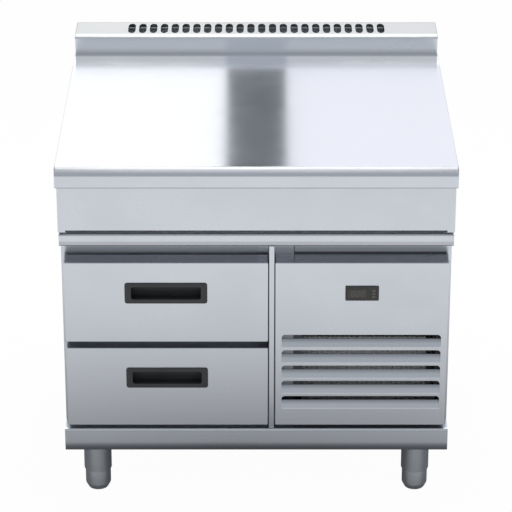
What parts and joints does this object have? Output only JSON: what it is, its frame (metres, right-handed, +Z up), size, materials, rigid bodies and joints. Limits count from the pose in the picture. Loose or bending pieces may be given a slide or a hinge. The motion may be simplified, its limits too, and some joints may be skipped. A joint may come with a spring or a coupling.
{
  "type": "refrigerated base",
  "caption": "Stainless steel worktop with a low vented splashback on a chilled cabinet: drawers on the left, a louvred machine bay on the right, levelling feet.",
  "frame": {"origin": "on the floor, at the middle of the plan", "axes": "+X to the right as the user faces the fronts, +Y from the fronts to the back, +Z up"},
  "size_m": [0.9, 0.88, 0.924],
  "materials": {
    "steel": "fine brushed stainless steel, satin",
    "foot_steel": "turned stainless steel, satin",
    "galvanised": "zinc plated steel, dull",
    "black_plastic": "moulded black plastic, fine texture",
    "grey_plastic": "moulded dark grey plastic",
    "window": "smoked display window, glossy",
    "rubber": "soft black gasket rubber",
    "foam": "rigid insulating foam, matte",
    "panel_core": "foam core with a thin steel inner skin, satin",
    "copper": "drawn copper tube",
    "aluminium": "plain aluminium",
    "black_paint": "black baked enamel"
  },
  "bodies": {
    "cabinet": {"worktop": "steel", "splashback": "steel", "apron": "steel", "skirt_left": "steel", "skirt_right": "steel", "carcass_top": "steel", "base_tray": "steel", "mullion": "steel", "side_left": "steel", "side_right": "steel", "back_panel": "steel", "chamber_liner": "steel", "insulation": "foam", "cross_bar": "steel", "bay_frame": "steel", "service_panel": "steel", "controller_case": "black_plastic", "controller_window": "window", "leg_front_left": "steel", "leg_front_right": "steel", "leg_back_left": "steel", "leg_back_right": "steel", "upper_rail_left": "galvanised", "upper_rail_right": "galvanised", "lower_rail_left": "galvanised", "lower_rail_right": "galvanised", "evaporator_cover": "steel", "evaporator_coil": "aluminium", "evaporator_motor": "black_paint", "machine_sled": "galvanised", "condenser": "aluminium", "fan_shroud": "black_paint", "condenser_motor": "black_paint", "compressor": "black_paint", "suction_pipe": "copper", "switch_box": "grey_plastic", "cord_gland": "black_plastic"},
    "upper_drawer": {"upper_front": "steel", "upper_core": "panel_core", "upper_handle": "black_plastic", "upper_gasket": "rubber", "upper_pan_frame": "steel"},
    "upper_slide_left": {"upper_slide_left": "galvanised"},
    "upper_slide_right": {"upper_slide_right": "galvanised"},
    "lower_drawer": {"lower_front": "steel", "lower_core": "panel_core", "lower_handle": "black_plastic", "lower_gasket": "rubber", "lower_pan_frame": "steel"},
    "lower_slide_left": {"lower_slide_left": "galvanised"},
    "lower_slide_right": {"lower_slide_right": "galvanised"},
    "evaporator_fan": {"evaporator_fan": "black_plastic"},
    "condenser_fan": {"condenser_fan": "aluminium"},
    "key_1": {"key_1": "grey_plastic"},
    "key_2": {"key_2": "grey_plastic"},
    "key_3": {"key_3": "grey_plastic"},
    "foot_front_left": {"foot_front_left": "foot_steel"},
    "foot_front_right": {"foot_front_right": "foot_steel"},
    "foot_back_left": {"foot_back_left": "foot_steel"},
    "foot_back_right": {"foot_back_right": "foot_steel"}
  },
  "joints": [
    {"name": "upper_drawer_pull", "type": "slide", "parent": "cabinet", "child": "upper_drawer", "axis": [0, -1, 0], "range_m": [0, 0.54]},
    {"name": "upper_slide_left_run", "type": "slide", "parent": "cabinet", "child": "upper_slide_left", "axis": [0, -1, 0], "range_m": [0, 0.27]},
    {"name": "upper_slide_right_run", "type": "slide", "parent": "cabinet", "child": "upper_slide_right", "axis": [0, -1, 0], "range_m": [0, 0.27]},
    {"name": "lower_drawer_pull", "type": "slide", "parent": "cabinet", "child": "lower_drawer", "axis": [0, -1, 0], "range_m": [0, 0.54]},
    {"name": "lower_slide_left_run", "type": "slide", "parent": "cabinet", "child": "lower_slide_left", "axis": [0, -1, 0], "range_m": [0, 0.27]},
    {"name": "lower_slide_right_run", "type": "slide", "parent": "cabinet", "child": "lower_slide_right", "axis": [0, -1, 0], "range_m": [0, 0.27]},
    {"name": "evaporator_fan_spin", "type": "hinge", "parent": "cabinet", "child": "evaporator_fan", "pos_m": [-0.205, 0.29, 0.314], "axis": [0, 1, 0], "continuous": true},
    {"name": "condenser_fan_spin", "type": "hinge", "parent": "cabinet", "child": "condenser_fan", "pos_m": [0.24915, -0.1867, 0.2636], "axis": [0, 1, 0], "continuous": true},
    {"name": "key_1_press", "type": "slide", "parent": "cabinet", "child": "key_1", "axis": [0, 1, 0], "range_m": [0, 0.0006], "stiffness_N_per_m": 500},
    {"name": "key_2_press", "type": "slide", "parent": "cabinet", "child": "key_2", "axis": [0, 1, 0], "range_m": [0, 0.0006], "stiffness_N_per_m": 500},
    {"name": "key_3_press", "type": "slide", "parent": "cabinet", "child": "key_3", "axis": [0, 1, 0], "range_m": [0, 0.0006], "stiffness_N_per_m": 500},
    {"name": "foot_front_left_level", "type": "slide", "parent": "cabinet", "child": "foot_front_left", "axis": [0, 0, -1], "range_m": [0, 0.04]},
    {"name": "foot_front_right_level", "type": "slide", "parent": "cabinet", "child": "foot_front_right", "axis": [0, 0, -1], "range_m": [0, 0.04]},
    {"name": "foot_back_left_level", "type": "slide", "parent": "cabinet", "child": "foot_back_left", "axis": [0, 0, -1], "range_m": [0, 0.04]},
    {"name": "foot_back_right_level", "type": "slide", "parent": "cabinet", "child": "foot_back_right", "axis": [0, 0, -1], "range_m": [0, 0.04]}
  ],
  "couplings": [
    {"joint": "upper_slide_left_run", "follows": "upper_drawer_pull", "ratio": 0.5},
    {"joint": "upper_slide_right_run", "follows": "upper_drawer_pull", "ratio": 0.5},
    {"joint": "lower_slide_left_run", "follows": "lower_drawer_pull", "ratio": 0.5},
    {"joint": "lower_slide_right_run", "follows": "lower_drawer_pull", "ratio": 0.5}
  ]
}
